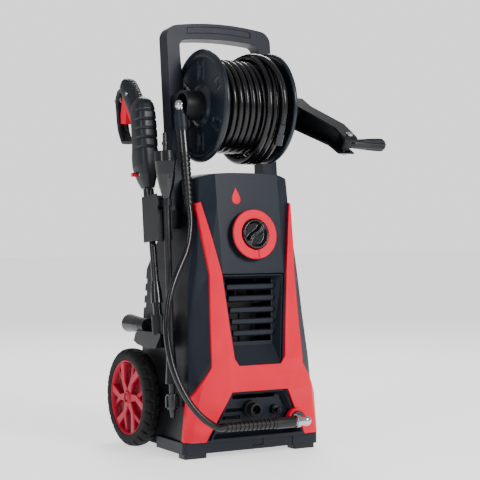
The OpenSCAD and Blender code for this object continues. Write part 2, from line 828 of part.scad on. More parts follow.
// Side view of the dog-leg, in (x, y)
module arm_plan(shift) {
  polygon([
    [crank_root - shift, 30], [crank_root - shift, -30], [160 - shift, -96], [171 - shift, -118],
    [171 - shift, -180],
    [203 - shift, -180], [203 - shift, -104], [162 - shift, -30], [crank_root + 30 - shift, 30]
  ]);
}
module arm_across(inset) {
  hull() {
    circle(r = arm_root_r - inset);
    translate([0, -crank_l - 2]) circle(r = arm_tip_r - inset);
  }
}
module crank_arm() color(black) {
  on_arm() difference() {
    union() {
      difference() {
        intersection() {
          translate([0, 0, -30]) linear_extrude(60) arm_plan(0);
          translate([100, 0, 0]) rotate([0, 90, 0]) linear_extrude(120) arm_across(0);
        }
        intersection() {
          translate([0, 0, -30]) linear_extrude(60) arm_plan(5);
          translate([90, 0, 0]) rotate([0, 90, 0]) linear_extrude(140) arm_across(4);
        }
      }
      x_cylinder(crank_root, crank_root + 28, 15);
    }
    x_cylinder(crank_root - over, crank_root + 26.2, journal_r + 0.1);
    translate([110, -far - 132, -12.5]) cube([120, far, 25]);
    translate([pin_x, -crank_l, -40]) cylinder(h = 80, r = pin_r + 0.05);
  }
}
module crank_pin() color(steel) {
  on_arm() translate([pin_x, -crank_l, 0]) {
    translate([0, 0, -21]) cylinder(h = 42, r = pin_r);
    translate([0, 0, 20.6]) cylinder(h = 3, r = 7);
    translate([0, 0, -23.6]) cylinder(h = 3, r = 6.5, $fn = 6);
  }
}
module crank_knuckle() color(black) {
  on_arm() difference() {
    union() {
      translate([pin_x, -crank_l, -12]) cylinder(h = 24, r = 9);
      x_cylinder(pin_x, pin_x + 14, 9, -crank_l, 0);
      x_cylinder(pin_x, pin_x + 18 + grip_l, 3.5, -crank_l, 0);
      x_cylinder(pin_x + 15 + grip_l, pin_x + 18 + grip_l, 6, -crank_l, 0);
    }
    translate([pin_x, -crank_l, -40]) cylinder(h = 80, r = pin_r + run_gap);
  }
}
grip_x0 = pin_x + 14.5;
module crank_grip() color(black) {
  on_arm() translate([grip_x0, -crank_l, 0]) rotate([0, 90, 0]) difference() {
    union() {
      cylinder(h = 5, r1 = 9, r2 = 10);
      translate([0, 0, 5]) cylinder(h = grip_l - 10, r1 = 10, r2 = 13.5);
      translate([0, 0, grip_l - 5]) cylinder(h = 5, r1 = 13.5, r2 = 12);
    }
    translate([0, 0, -over]) cylinder(h = grip_l + 2 * over, r = 3.5 + run_gap);
    translate([0, 0, grip_l - 1]) cylinder(h = 2, r = 7);
  }
}

// ================================================================ wheels
wheel_out = track_w / 2;
rim_r = wheel_d / 2 - 24;
cap_t = 6;
module wheel_axle() color(steel) {
  x_cylinder(-wheel_out + cap_t + 1, wheel_out - cap_t - 1, axle_r, axle_y, axle_z);
}
module at_wheel() {
  translate([wheel_out, axle_y, axle_z]) rotate([0, -90, 0]) children();
}
// Six forked spokes between a hub and a rim band
module rim_solid() {
  difference() {
    union() {
      ring(rim_r, rim_r - 5, tyre_w - 2);
      translate([0, 0, 13]) cylinder(h = 5, r = rim_r - 4);
      translate([0, 0, 2]) cylinder(h = tyre_w + 1, r = 21);
      intersection() {
        for (a = [0:60:300]) rotate([0, 0, a]) spoke();
        cylinder(h = tyre_w, r = rim_r - 1);
      }
    }
    translate([0, 0, cap_t]) cylinder(h = tyre_w, r = axle_r + run_gap);
  }
}
module spoke() {
  translate([0, 0, 3]) linear_extrude(14) polygon([
    [14, -9], [40, -12], [rim_r - 3, -26], [rim_r - 3, -14], [46, 2], [rim_r - 3, 10], [rim_r - 3, 22],
    [36, 12], [14, 9]
  ]);
}
module tyre_solid() {
  rotate_extrude() polygon([
    [rim_r + 0.2, 1], [rim_r + 8, 0], [wheel_d / 2 - 6, 2], [wheel_d / 2, 9], [wheel_d / 2, tyre_w - 9],
    [wheel_d / 2 - 6, tyre_w - 2], [rim_r + 8, tyre_w], [rim_r + 0.2, tyre_w - 1]
  ]);
}
module right_rim() color(red) at_wheel() rim_solid();
module right_tyre() color(black) at_wheel() tyre_solid();
module left_rim() color(red) mirror([1, 0, 0]) at_wheel() rim_solid();
module left_tyre() color(black) mirror([1, 0, 0]) at_wheel() tyre_solid();

// ================================================================ gun, in its own frame
gun_w = 40;
shell_t = 3;
pin_half = 17.5;
// Side outlines in (y, z): upright barrel housing and slanting grip
module barrel_outline() {
  offset(r = 6) offset(delta = -6) polygon([
    [-17, 14], [-24, 34], [-25, 170], [-20, 188], [-6, 200], [14, 202], [30, 170], [24, 132], [26, 90], [30, 66],
    [26, 44], [19, 14]
  ]);
}
grip_lean = 32;
grip_end = [59, 243];
module grip_outline() {
  offset(r = 5) offset(delta = -5) polygon([
    [-6, 176], [12, 206], [40, 250], [50, 257], [62, 253], [75, 241], [76, 232], [30, 160], [14, 138]
  ]);
}
// Rounded gun body, moved inwards by t
module gun_solid(t) {
  intersection() {
    side_extrude(-gun_w, gun_w) offset(delta = -t) barrel_outline();
    translate([0, 3, -10]) linear_extrude(240) offset(r = 12 - t) square([gun_w - 24, 56 - 24], center = true);
  }
  intersection() {
    side_extrude(-gun_w, gun_w) offset(delta = -t) grip_outline();
    translate([0, grip_end[0], grip_end[1]]) rotate([-grip_lean, 0, 0]) translate([0, 0, -130])
      linear_extrude(160) offset(r = 12 - t) square([gun_w - 26, 41 - 24], center = true);
  }
}
module guard_outline() {
  polygon([
    [70, 238], [84, 240], [96, 228], [101, 212], [101, 168], [96, 146], [86, 122], [78, 126], [88, 150], [93, 170],
    [93, 208], [86, 224], [72, 226]
  ]);
}
module gun_half(side) {
  on_gun() difference() {
    union() {
      gun_solid(0);
      side_extrude(-12, 12) guard_outline();
    }
    gun_solid(shell_t);
    translate([side > 0 ? 0.05 - 2 * far : -0.05, -far, -far]) cube(2 * far);
    cylinder(h = 30, r = 11.5);
    for (i = [0:4]) translate([-far / 2, -31, 92 + i * 19]) cube([far, 8, 3]);
    side_extrude(-8.4, 8.4) trigger_space();
    x_cylinder(-far, -10, button_r + run_gap, button_y, button_z);
    for (p = gun_screw_places) x_cylinder(-far, far, 2.2, p[0], p[1]);
    for (p = gun_screw_places) x_cylinder(-far, -gun_w / 2 + 3, 4.2, p[0], p[1]);
    inlet_place() translate([0, 0, inlet_root]) cylinder(h = 60, r = gun_inlet_r + 1.6);
  }
  on_gun() x_cylinder(side > 0 ? 0.05 : -pin_half, side > 0 ? pin_half : -0.05, pivot_r, trigger_y, trigger_z);
}
gun_screw_places = [[-9, 147], [-8, 72], [0, 42], [34, 216]];
module gun_shell_left() color(slate) gun_half(-1);
module gun_shell_right() color(slate) gun_half(1);
module gun_screws() color(steel) {
  on_gun() for (p = gun_screw_places) {
    x_cylinder(-gun_w / 2 + 3, gun_w / 2 - 3, 2.2, p[0], p[1]);
    x_cylinder(-gun_w / 2 + 1, -gun_w / 2 + 3, 4.2, p[0], p[1]);
  }
}
// Lever with a finger face, hinged near the barrel
trigger_y = 19;
trigger_z = 150;
pivot_r = 2.5;
lock_y = 80;
lock_z = 168;
module trigger_outline() {
  polygon([
    [13, 145], [34, 143], [60, 186], [67, 160], [90, 166], [88, 184], [72, 220], [63, 221], [22, 160], [12, 154]
  ]);
}
module trigger_space() {
  polygon([
    [14, 138], [42, 138], [70, 150], [92, 158], [92, 190], [78, 226], [52, 232], [20, 172], [12, 156]
  ]);
}
module trigger() color(red) {
  on_gun() difference() {
    side_extrude(-8, 8) trigger_outline();
    x_cylinder(-10, 10, pivot_r + run_gap, trigger_y, trigger_z);
    x_cylinder(-6, 6, 1.6 + run_gap, lock_y, lock_z);
    side_extrude(-3.4, 3.4) polygon([[70, 140], [92, 140], [90, 178], [72, 176]]);
  }
}
// Safety catch that swings down out of the trigger
module trigger_lock() color(black) {
  on_gun() {
    side_extrude(-3, 3) polygon([[75, 172], [84, 173], [85, 160], [80, 148], [74, 151]]);
    x_cylinder(-5.6, 5.6, 1.6, lock_y, lock_z);
  }
}
button_r = 4.4;
button_y = 14;
button_z = 42;
module gun_button() color(red) {
  on_gun() {
    x_cylinder(-28, -10, button_r, button_y, button_z);
    x_cylinder(-16.6, -14, button_r + 1.2, button_y, button_z);
  }
}
// Quick-connect stub for the high-pressure hose, at the end of the grip
module inlet_place() {
  translate([0, 92, 218]) rotate([-84, 0, 0]) children();
}
inlet_root = -6;
module gun_inlet() color(steel) {
  on_gun() inlet_place() difference() {
    union() {
      translate([0, 0, inlet_root]) cylinder(h = 4 - inlet_root, r = gun_inlet_r + 1.6);
      translate([0, 0, 4]) cylinder(h = 22, r = gun_inlet_r);
      translate([0, 0, 26]) cylinder(h = 3, r1 = gun_inlet_r, r2 = gun_inlet_r - 2);
    }
    translate([0, 0, -over]) cylinder(h = 60, r = 3);
  }
}
// Lance fitted in the gun: ribbed collar, tube and fan nozzle, all pointing down
wand_end = -196;
wand_tip = -262;
module gun_wand() color(black) {
  on_gun() {
    translate([0, 0, wand_end]) cylinder(h = -wand_end + 12, r = tube_r);
    translate([0, 0, -6]) cylinder(h = 16, r = 10.9);
    for (i = [0:3]) translate([0, 0, -24 + i * 4.5]) cylinder(h = 3, r = 11.5);
    translate([0, 0, -24]) cylinder(h = 18.5, r = 9.5);
  }
}
module gun_nozzle() color(black) {
  on_gun() difference() {
    union() {
      translate([0, 0, wand_tip]) cylinder(h = 42, r = 9);
      translate([0, 0, wand_tip + 40]) cylinder(h = 22, r1 = 12, r2 = 11);
      translate([0, 0, wand_tip + 62]) cylinder(h = 22, r1 = 11, r2 = 8);
    }
    translate([0, 0, wand_end - 0.2]) cylinder(h = 60, r = tube_r + 0.05);
    translate([0, 0, wand_tip - over]) cylinder(h = 80, r = 2);
  }
}

// ================================================================ spare lance, in its own frame
lance_top = 525;
nozzle_top = 140;
module spare_lance() color(black) {
  on_lance() difference() {
    union() {
      translate([0, 0, nozzle_top - 10]) cylinder(h = lance_top - nozzle_top + 10, r = tube_r);
      translate([0, 0, lance_top]) cylinder(h = 16, r = 5);
      translate([0, 0, lance_top + 12]) cylinder(h = 6, r = 6.5);
      translate([0, 0, lance_top + 18]) cylinder(h = 18, r = 4.5);
    }
    translate([0, 0, -far]) cylinder(h = 3 * far, r = 2.5);
  }
}
// Pointed half-cone that covers the lance's plug
shield_z = 430;
shield_h = 94;
shield_r = 22;
module shield_profile(t) {
  polygon([
    [0, t], [7.2 - t / 4, t], [14 - t, 22], [19 - t, 48], [shield_r - t, 74], [shield_r - t, shield_h + t], [0, shield_h + t]
  ]);
}
module lance_shield() color(black) {
  on_lance() translate([0, 0, shield_z]) difference() {
    rotate_extrude() shield_profile(0);
    rotate_extrude() shield_profile(2.4);
    translate([0, 0, -over]) cylinder(h = 100, r = tube_r + 0.05);
    translate([-40, 9, -over]) cube([80, 40, 120]);
    translate([shield_r - 3, -40, -over]) cube([10, 80, 120]);
  }
  on_lance() translate([0, 0, shield_z + 40]) ring(tube_r + 3, tube_r + 0.05, 12);
  on_lance() translate([-2, -20, shield_z + 40]) cube([4, 11, 12]);
}
module lance_nozzle() color(black) {
  on_lance() {
    difference() {
      union() {
        translate([0, 0, 66]) cylinder(h = 50, r1 = 13, r2 = 9.5);
        translate([0, 0, 116]) cylinder(h = 24, r1 = 9.5, r2 = 8.2);
        translate([0, 0, 10]) cylinder(h = 57, r = 6);
        cylinder(h = 12, r1 = 4.5, r2 = 6);
      }
      translate([0, 0, nozzle_top - 10.2]) cylinder(h = 40, r = tube_r + 0.05);
      translate([0, 0, -over]) cylinder(h = 160, r = 1.5);
    }
  }
}
module nozzle_collar() color(black) {
  on_lance() translate([0, 0, 16]) difference() {
    union() {
      cylinder(h = 30, r1 = 10, r2 = 12);
      for (a = [0:60:300]) rotate([0, 0, a]) translate([8, -2, 4]) cube([6.5, 4, 22]);
    }
    translate([0, 0, -over]) cylinder(h = 40, r = 6 + run_gap);
  }
}

// ================================================================ holders
holder_z = 424;
holder_h = 92;
plate_t = 3;
holder_lean = 6;
plate_in = 17;
// Height of the clip under the spare lance's shield, along the lance
clip_z = shield_z - 14.4;
module side_holder() color(black) {
  difference() {
    translate([-store_x, 110, holder_z]) rotate([-holder_lean, 0, 0]) {
      for (x = [-plate_in, plate_in - plate_t]) translate([x, -42, 0]) cube([plate_t, 64, holder_h]);
      translate([-plate_in, -14, 0]) cube([2 * plate_in, plate_t, holder_h]);
      translate([plate_in - plate_t, -20, 24]) cube([40, 36, 36]);
      translate([-plate_in, -42, 68]) cube([2 * plate_in, plate_t, 16]);
    }
    body_solid(0);
    mirror([1, 0, 0]) frame_space(seam);
    on_lance() cylinder(h = far, r = tube_r + 1);
  }
  on_lance() translate([0, 0, clip_z]) difference() {
    union() {
      cylinder(h = 14, r = tube_r + 3);
      translate([-4, 0, 0]) cube([8, 14, 14]);
    }
    translate([0, 0, -over]) cylinder(h = 20, r = tube_r + gap);
    translate([-20, -tube_r - gap, -over]) cube([20, 2 * (tube_r + gap), 20]);
  }
}

// Shelf over the left wheel: a cup for the gun's lance and a socket for the rotating nozzle
rest_x0 = -172;
rest_z0 = 208;
rest_z1 = 243;
turbo_x = -158;
turbo_z = 252;
socket_y = 152;
module nozzle_rest() color(black) {
  difference() {
    union() {
      intersection() {
        side_extrude(rest_x0, -100) polygon([
          [66, rest_z1], [92, rest_z0 + 4], [130, rest_z0], [176, rest_z0 + 6], [192, rest_z0 + 12], [180, rest_z1]
        ]);
        linear_extrude(far) polygon([[-100, 200], [-100, 118], [-150, 104], [rest_x0, 70], [rest_x0, 200]]);
      }
      on_gun() translate([0, 0, wand_tip - 24]) cylinder(h = 40, r = 14);
      y_cylinder(socket_y, socket_y + 26, 15, turbo_x, turbo_z);
    }
    on_gun() translate([0, 0, wand_tip - 2]) cylinder(h = 60, r = 10);
    y_cylinder(socket_y + 3, socket_y + 60, 11, turbo_x, turbo_z);
    y_cylinder(socket_y + 26, socket_y + 100, 20, turbo_x, turbo_z);
    body_solid(0);
  }
}
module turbo_nozzle() color(black) {
  translate([turbo_x, 0, turbo_z]) rotate([-90, 0, 0]) {
    translate([0, 0, socket_y + 4]) cylinder(h = 24, r = 10.5);
    translate([0, 0, socket_y + 27]) cylinder(h = 16, r1 = 14, r2 = 16);
    translate([0, 0, socket_y + 43]) cylinder(h = 44, r1 = 16, r2 = 19);
    translate([0, 0, socket_y + 87]) cylinder(h = 8, r1 = 19, r2 = 15);
  }
}

base_tray();
front_feet();
rear_housing();
front_cover();
red_fascia();
upper_grille();
lower_grille();
knob_boss();
knob_ring();
switch_knob();
switch_box();
capacitor();
motor_body();
motor_rotor();
pump_head();
housing_screws();
handle_frame();
reel_bracket_left();
reel_bracket_right();
reel_core();
reel_flange_left();
reel_flange_right();
reel_hose();
hose_coupling();
hub_swivel();
hose_nut();
hose_sleeve();
upper_relief();
link_hose();
lower_relief();
outlet_elbow();
outlet_union();
water_inlet();
detergent_nipple();
cable_gland();
crank_arm();
crank_pin();
crank_knuckle();
crank_grip();
wheel_axle();
left_rim();
left_tyre();
right_rim();
right_tyre();
gun_shell_left();
gun_shell_right();
gun_screws();
trigger();
trigger_lock();
gun_button();
gun_inlet();
gun_wand();
gun_nozzle();
spare_lance();
lance_shield();
lance_nozzle();
nozzle_collar();
side_holder();
nozzle_rest();
turbo_nozzle();
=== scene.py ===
import json
import math

import bmesh
import bpy
from mathutils import Matrix, Vector


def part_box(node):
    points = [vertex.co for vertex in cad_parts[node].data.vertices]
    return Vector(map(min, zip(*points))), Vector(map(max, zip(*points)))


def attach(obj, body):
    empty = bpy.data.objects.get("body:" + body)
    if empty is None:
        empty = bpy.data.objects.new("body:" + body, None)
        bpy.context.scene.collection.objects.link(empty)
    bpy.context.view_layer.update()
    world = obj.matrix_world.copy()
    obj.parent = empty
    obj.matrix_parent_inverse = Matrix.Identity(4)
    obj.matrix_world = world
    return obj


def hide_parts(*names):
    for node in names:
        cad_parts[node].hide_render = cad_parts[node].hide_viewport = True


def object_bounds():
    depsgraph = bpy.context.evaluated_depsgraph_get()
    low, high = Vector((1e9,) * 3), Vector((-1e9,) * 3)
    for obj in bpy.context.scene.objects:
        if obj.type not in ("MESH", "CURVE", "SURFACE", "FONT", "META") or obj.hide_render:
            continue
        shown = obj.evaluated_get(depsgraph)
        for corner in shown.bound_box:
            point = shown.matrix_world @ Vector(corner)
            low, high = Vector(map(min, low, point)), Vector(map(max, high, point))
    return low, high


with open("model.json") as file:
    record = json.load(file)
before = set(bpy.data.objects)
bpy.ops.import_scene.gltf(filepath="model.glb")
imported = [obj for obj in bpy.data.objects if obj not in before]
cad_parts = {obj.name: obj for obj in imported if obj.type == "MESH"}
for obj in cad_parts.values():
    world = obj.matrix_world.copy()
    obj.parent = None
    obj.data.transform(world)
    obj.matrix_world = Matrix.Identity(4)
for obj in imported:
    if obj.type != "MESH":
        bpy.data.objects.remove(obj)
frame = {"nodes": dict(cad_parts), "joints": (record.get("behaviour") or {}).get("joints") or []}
cad_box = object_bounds()
cad = frame["nodes"]
joints = {j["name"]: j for j in frame["joints"]}


# ---------------------------------------------------------------- small helpers
def middle(node):
    """Middle of a frame node's box."""
    low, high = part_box(node)
    return (low + high) / 2


def smooth(a, b, x):
    """Smooth step of x: 0 at a and 1 at b, whichever is larger."""
    t = min(max((x - a) / (b - a), 0.0), 1.0)
    return t * t * (3 - 2 * t)


def surface_point(node, start, direction):
    """Where a ray from start first meets a frame node."""
    return cad[node].ray_cast(Vector(start), Vector(direction))[1]


def along(start, direction):
    """Frame at start whose Z axis points along direction."""
    turn = Vector(direction).to_track_quat("Z", "Y").to_matrix().to_4x4()
    return Matrix.Translation(start) @ turn


def upright(place, up):
    """Frame at place with Z along up and X to the machine's right."""
    up = Vector(up).normalized()
    side = Vector((1, 0, 0))
    turn = Matrix((side, up.cross(side), up)).transposed()
    return Matrix.Translation(place) @ turn.to_4x4()


def level(rows, value):
    """Straight interpolation between rows of (value, number, number, ...)."""
    for low, high in zip(rows, rows[1:]):
        if value <= high[0]:
            t = min(max((value - low[0]) / (high[0] - low[0]), 0.0), 1.0)
            return [a + (b - a) * t for a, b in zip(low[1:], high[1:])]
    return list(rows[-1][1:])


def oval(half_w, half_d, power, count):
    """Rounded rectangle as (across, deep) pairs."""
    points = []
    for k in range(count):
        c = math.cos(2 * math.pi * k / count)
        s = math.sin(2 * math.pi * k / count)
        points.append((half_w * math.copysign(abs(c) ** (2 / power), c),
                       half_d * math.copysign(abs(s) ** (2 / power), s)))
    return points


def loft(rings, looped=False):
    """Points and faces of a skin over equal rings, capped at both ends or joined last to first."""
    count = len(rings[0])
    points = [p for ring in rings for p in ring]
    faces = []
    for i in range(len(rings) if looped else len(rings) - 1):
        first = i * count
        second = (i + 1) % len(rings) * count
        for k in range(count):
            j = (k + 1) % count
            faces.append((first + k, first + j, second + j, second + k))
    if not looped:
        faces.append(tuple(reversed(range(count))))
        last = (len(rings) - 1) * count
        faces.append(tuple(range(last, last + count)))
    return points, faces


def spun(profile, place, segments, shape, looped=False):
    """Skin of (height, radius) rows turned about the Z axis of place.

    shape(height, radius, angle) gives the height and radius of each point, relief included.
    """
    rings = []
    for row_height, row_radius in profile:
        ring = []
        for k in range(segments):
            angle = 2 * math.pi * k / segments
            height, radius = shape(row_height, row_radius, angle)
            ring.append(place @ Vector((radius * math.cos(angle), radius * math.sin(angle), height)))
        rings.append(ring)
    return loft(rings, looped)


def put(name, skins, body, finish, replaced=(), sharp=35.0):
    """A new piece made of one or more skins, riding on a body. Edges above sharp degrees stay sharp."""
    mesh = bpy.data.meshes.new(name)
    work = bmesh.new()
    for points, faces in skins:
        corners = [work.verts.new(p) for p in points]
        for face in faces:
            work.faces.new([corners[i] for i in face])
    bmesh.ops.recalc_face_normals(work, faces=work.faces)
    work.to_mesh(mesh)
    work.free()
    mesh.shade_smooth()
    mesh.set_sharp_from_angle(angle=math.radians(sharp))
    piece = bpy.data.objects.new(name, mesh)
    bpy.context.scene.collection.objects.link(piece)
    dress(piece, finish)
    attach(piece, body)
    if replaced:
        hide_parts(*replaced)
    return piece


def dress(piece, finish):
    """Give a piece its material."""
    piece.data.materials.clear()
    piece.data.materials.append(finish)


# ---------------------------------------------------------------- finishes
def noise(tree, coords, scale, detail):
    """Noise over the piece's own coordinates."""
    node = tree.nodes.new("ShaderNodeTexNoise")
    node.inputs["Scale"].default_value = scale
    node.inputs["Detail"].default_value = detail
    tree.links.new(coords.outputs["Object"], node.inputs["Vector"])
    return node.outputs["Fac"]


def remap(tree, value, low, high, start=0.3, end=0.7):
    """The range start to end of a value, spread over low to high."""
    node = tree.nodes.new("ShaderNodeMapRange")
    node.inputs["From Min"].default_value = start
    node.inputs["From Max"].default_value = end
    node.inputs["To Min"].default_value = low
    node.inputs["To Max"].default_value = high
    tree.links.new(value, node.inputs["Value"])
    return node.outputs["Result"]


def blend_colour(tree, factor, first, second):
    """Mix of two colours, each given as a triple or a socket."""
    node = tree.nodes.new("ShaderNodeMix")
    node.data_type = "RGBA"
    tree.links.new(factor, node.inputs["Factor"])
    for socket, colour in ((node.inputs["A"], first), (node.inputs["B"], second)):
        if isinstance(colour, bpy.types.NodeSocket):
            tree.links.new(colour, socket)
        else:
            socket.default_value = (*colour, 1)
    return node.outputs["Result"]


def finish(name, slot, colour, rough, metal=0.0, spread=0.04, grain=0.0006, depth=0.00003, mottle=0.12,
           edge=0.0012, worn=0.35, coat=0.0, specular=0.5):
    """Moulded, rubber or metal surface: grain in real size, uneven sheen, mottle and rubbed edges."""
    material = bpy.data.materials.new(name)
    material.use_nodes = True
    material["slot"] = slot
    tree = material.node_tree
    shader = tree.nodes["Principled BSDF"]
    shader.inputs["Metallic"].default_value = metal
    shader.inputs["Coat Weight"].default_value = coat
    shader.inputs["Coat Roughness"].default_value = 0.12
    shader.inputs["Specular IOR Level"].default_value = specular
    coords = tree.nodes.new("ShaderNodeTexCoord")
    broad = noise(tree, coords, 22.0, 3.0)
    fine = noise(tree, coords, 1 / grain, 2.0)
    bevel = tree.nodes.new("ShaderNodeBevel")
    bevel.samples = 4
    bevel.inputs["Radius"].default_value = edge
    facing = tree.nodes.new("ShaderNodeNewGeometry")
    apart = tree.nodes.new("ShaderNodeVectorMath")
    apart.operation = "DOT_PRODUCT"
    tree.links.new(bevel.outputs["Normal"], apart.inputs[0])
    tree.links.new(facing.outputs["Normal"], apart.inputs[1])
    rubbed = remap(tree, apart.outputs["Value"], worn, 0.0, 0.86, 0.995)
    darker = [c * (1 - mottle) for c in colour]
    lighter = [min(c * (1 + mottle), 1.0) for c in colour]
    base = blend_colour(tree, remap(tree, broad, 0.0, 1.0), darker, lighter)
    pale = [min(c * 1.5 + 0.006, 1.0) for c in colour]
    tree.links.new(blend_colour(tree, rubbed, base, pale), shader.inputs["Base Color"])
    tree.links.new(remap(tree, broad, rough - spread, rough + spread), shader.inputs["Roughness"])
    bump = tree.nodes.new("ShaderNodeBump")
    bump.inputs["Strength"].default_value = 0.5
    bump.inputs["Distance"].default_value = depth
    tree.links.new(fine, bump.inputs["Height"])
    tree.links.new(bevel.outputs["Normal"], bump.inputs["Normal"])
    tree.links.new(bump.outputs["Normal"], shader.inputs["Normal"])
    return material


slate = finish("slate_plastic", "slate_plastic", (0.0055, 0.0085, 0.0155), 0.40, edge=0.0018, specular=0.24)
black = finish("black_plastic", "black_plastic", (0.004, 0.005, 0.007), 0.42, edge=0.0015, specular=0.28)
shade = finish("deep_black_plastic", "black_plastic", (0.004, 0.004, 0.005), 0.60, edge=0.001, specular=0.2)
gloss = finish("gloss_black", "gloss_black", (0.003, 0.004, 0.006), 0.17, spread=0.03, grain=0.002,
               depth=0.000004, worn=0.12, edge=0.0007)
reel_gloss = finish("reel_plastic", "gloss_black", (0.005, 0.009, 0.015), 0.30, grain=0.001,
                    depth=0.00001, edge=0.002, specular=0.4)
red = finish("red_plastic", "red_plastic", (0.68, 0.0, 0.026), 0.42, grain=0.0008, mottle=0.05, edge=0.0016,
             specular=0.16)
rim_red = finish("wheel_red", "red_plastic", (0.40, 0.0, 0.022), 0.40, grain=0.0008, mottle=0.08,
                 edge=0.0016, specular=0.25)
tyre_black = finish("tyre_rubber", "tyre", (0.004, 0.004, 0.005), 0.66, grain=0.0012, depth=0.00006,
                    mottle=0.25, specular=0.2)
hose_black = finish("hose_cover", "hose_rubber", (0.002, 0.002, 0.003), 0.22, grain=0.003, depth=0.000003,
                    worn=0.1, edge=0.0004, specular=0.38)
boot_black = finish("boot_rubber", "soft_rubber", (0.004, 0.004, 0.005), 0.36, grain=0.0009, depth=0.00002,
                    specular=0.35)
grip_black = finish("grip_plastic", "slate_plastic", (0.005, 0.007, 0.011), 0.40, grain=0.0007,
                    depth=0.00002, specular=0.35)
tube_black = finish("coated_tube", "black_tube", (0.004, 0.004, 0.006), 0.28, grain=0.0015, depth=0.00001,
                    edge=0.0006)
chrome = finish("chrome", "chrome_fitting", (0.46, 0.47, 0.50), 0.13, metal=1.0, spread=0.05, grain=0.004,
                depth=0.00001, mottle=0.03, edge=0.0008)
dark_chrome = finish("dark_chrome", "chrome_fitting", (0.040, 0.042, 0.048), 0.30, metal=1.0, grain=0.002,
                     mottle=0.15)
zinc = finish("zinc_steel", "zinc_steel", (0.42, 0.42, 0.43), 0.34, metal=1.0, grain=0.001)
cast = finish("cast_aluminium", "cast_aluminium", (0.05, 0.05, 0.052), 0.6, metal=0.6, grain=0.0014,
              depth=0.0001)
plates = finish("lamination_steel", "lamination_steel", (0.10, 0.10, 0.11), 0.5, metal=1.0, grain=0.0007)


# Dark red painted on as shade in the wheel rims' hollows
painted_shade_red = (0.06, 0.0, 0.004)


def paint_hollow_shade(material, near, far, share):
    """Paint shade into a material's hollows: turn its colour towards the dark painted-shade red by share,
    between the distances near and far from X = 0.
    """
    tree = material.node_tree
    shader = tree.nodes["Principled BSDF"]
    base = shader.inputs["Base Color"].links[0].from_socket
    coords = tree.nodes.new("ShaderNodeTexCoord")
    parts = tree.nodes.new("ShaderNodeSeparateXYZ")
    tree.links.new(coords.outputs["Object"], parts.inputs[0])
    distance = tree.nodes.new("ShaderNodeMath")
    distance.operation = "ABSOLUTE"
    tree.links.new(parts.outputs["X"], distance.inputs[0])
    depth = remap(tree, distance.outputs[0], 0.0, share, near, far)
    tree.links.new(blend_colour(tree, depth, base, painted_shade_red), shader.inputs["Base Color"])


# Painted shade: the rims turn darker the deeper they lie behind the wheel's outer face
wheel_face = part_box("right_tyre")[1].x
paint_hollow_shade(rim_red, wheel_face - 0.005, wheel_face - 0.012, 0.72)


# ---------------------------------------------------------------- camera
camera_data = bpy.data.cameras.new("camera")
camera_data.lens = 100.8
camera_data.sensor_width = 36.0
camera = bpy.data.objects.new("camera", camera_data)
bpy.context.scene.collection.objects.link(camera)
camera.location = (-1.371, -2.303, 0.465)
azimuth = math.radians(30.2)
pitch = math.radians(0.8)
sight = Vector((math.sin(azimuth) * math.cos(pitch), math.cos(azimuth) * math.cos(pitch), -math.sin(pitch)))
camera.rotation_euler = sight.to_track_quat("-Z", "Y").to_euler()
bpy.context.scene.camera = camera


# ---------------------------------------------------------------- hoses
hose_d = 0.013


def hose(name, points, body, replaced, **facts):
    """A hose along points, as a curve."""
    curve = bpy.data.curves.new(name, "CURVE")
    curve.dimensions = "3D"
    curve.bevel_depth = hose_d / 2
    curve.bevel_resolution = 6
    curve.use_fill_caps = True
    spline = curve.splines.new("POLY")
    spline.points.add(len(points) - 1)
    for corner, p in zip(spline.points, points):
        corner.co = (*p, 1)
    spline.use_smooth = True
    piece = bpy.data.objects.new(name, curve)
    bpy.context.scene.collection.objects.link(piece)
    dress(piece, hose_black)
    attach(piece, body)
    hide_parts(replaced)
    return piece


def through(route, steps):
    """Smooth curve through the route's points."""
    line = []
    for i in range(len(route) - 1):
        a = route[max(i - 1, 0)]
        b, c = route[i], route[i + 1]
        d = route[min(i + 2, len(route) - 1)]
        for k in range(steps):
            t = k / steps
            line.append(0.5 * (2 * b + (c - a) * t + (2 * a - 5 * b + 4 * c - d) * t * t
                               + (3 * b - a - 3 * c + d) * t * t * t))
    return line + [route[-1]]


link_route = [Vector(p) for p in (
    (-0.124, 0.0396, 0.4952), (-0.124, 0.034, 0.464), (-0.130, 0.028, 0.432), (-0.140, 0.022, 0.405),
    (-0.156, 0.016, 0.378), (-0.172, 0.010, 0.350), (-0.185, 0.005, 0.318), (-0.193, 0.000, 0.283),
    (-0.196, -0.005, 0.250), (-0.195, -0.012, 0.217), (-0.191, -0.020, 0.186), (-0.184, -0.029, 0.158),
    (-0.174, -0.038, 0.132), (-0.161, -0.046, 0.109), (-0.145, -0.053, 0.090), (-0.127, -0.058, 0.076),
    (-0.112, -0.060, 0.068), (-0.099, -0.060, 0.068))]
hose("link_hose_line", through(link_route, 6), "body", "link_hose", far_end="object", stiffness="stiff",
     lay="hanging", with_pieces=[cad["upper_relief"], cad["lower_relief"]])

# The long hose: an even first layer, then a looser second one that hangs lower, ending at its coupling
reel_axis = middle("reel_core")
first_r = 0.0886
second_r = 0.1019
sag = 0.004
end_r = 0.1234
first_turns = 9.0
second_turns = 4.0
turn_steps = 48
end_angle = math.radians(198.5)
left_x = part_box("reel_hose")[0].x + hose_d / 2
right_x = 0.0645
first_pitch = (right_x - left_x) / first_turns
second_pitch = 0.0142
coupling_x = middle("hose_coupling").x


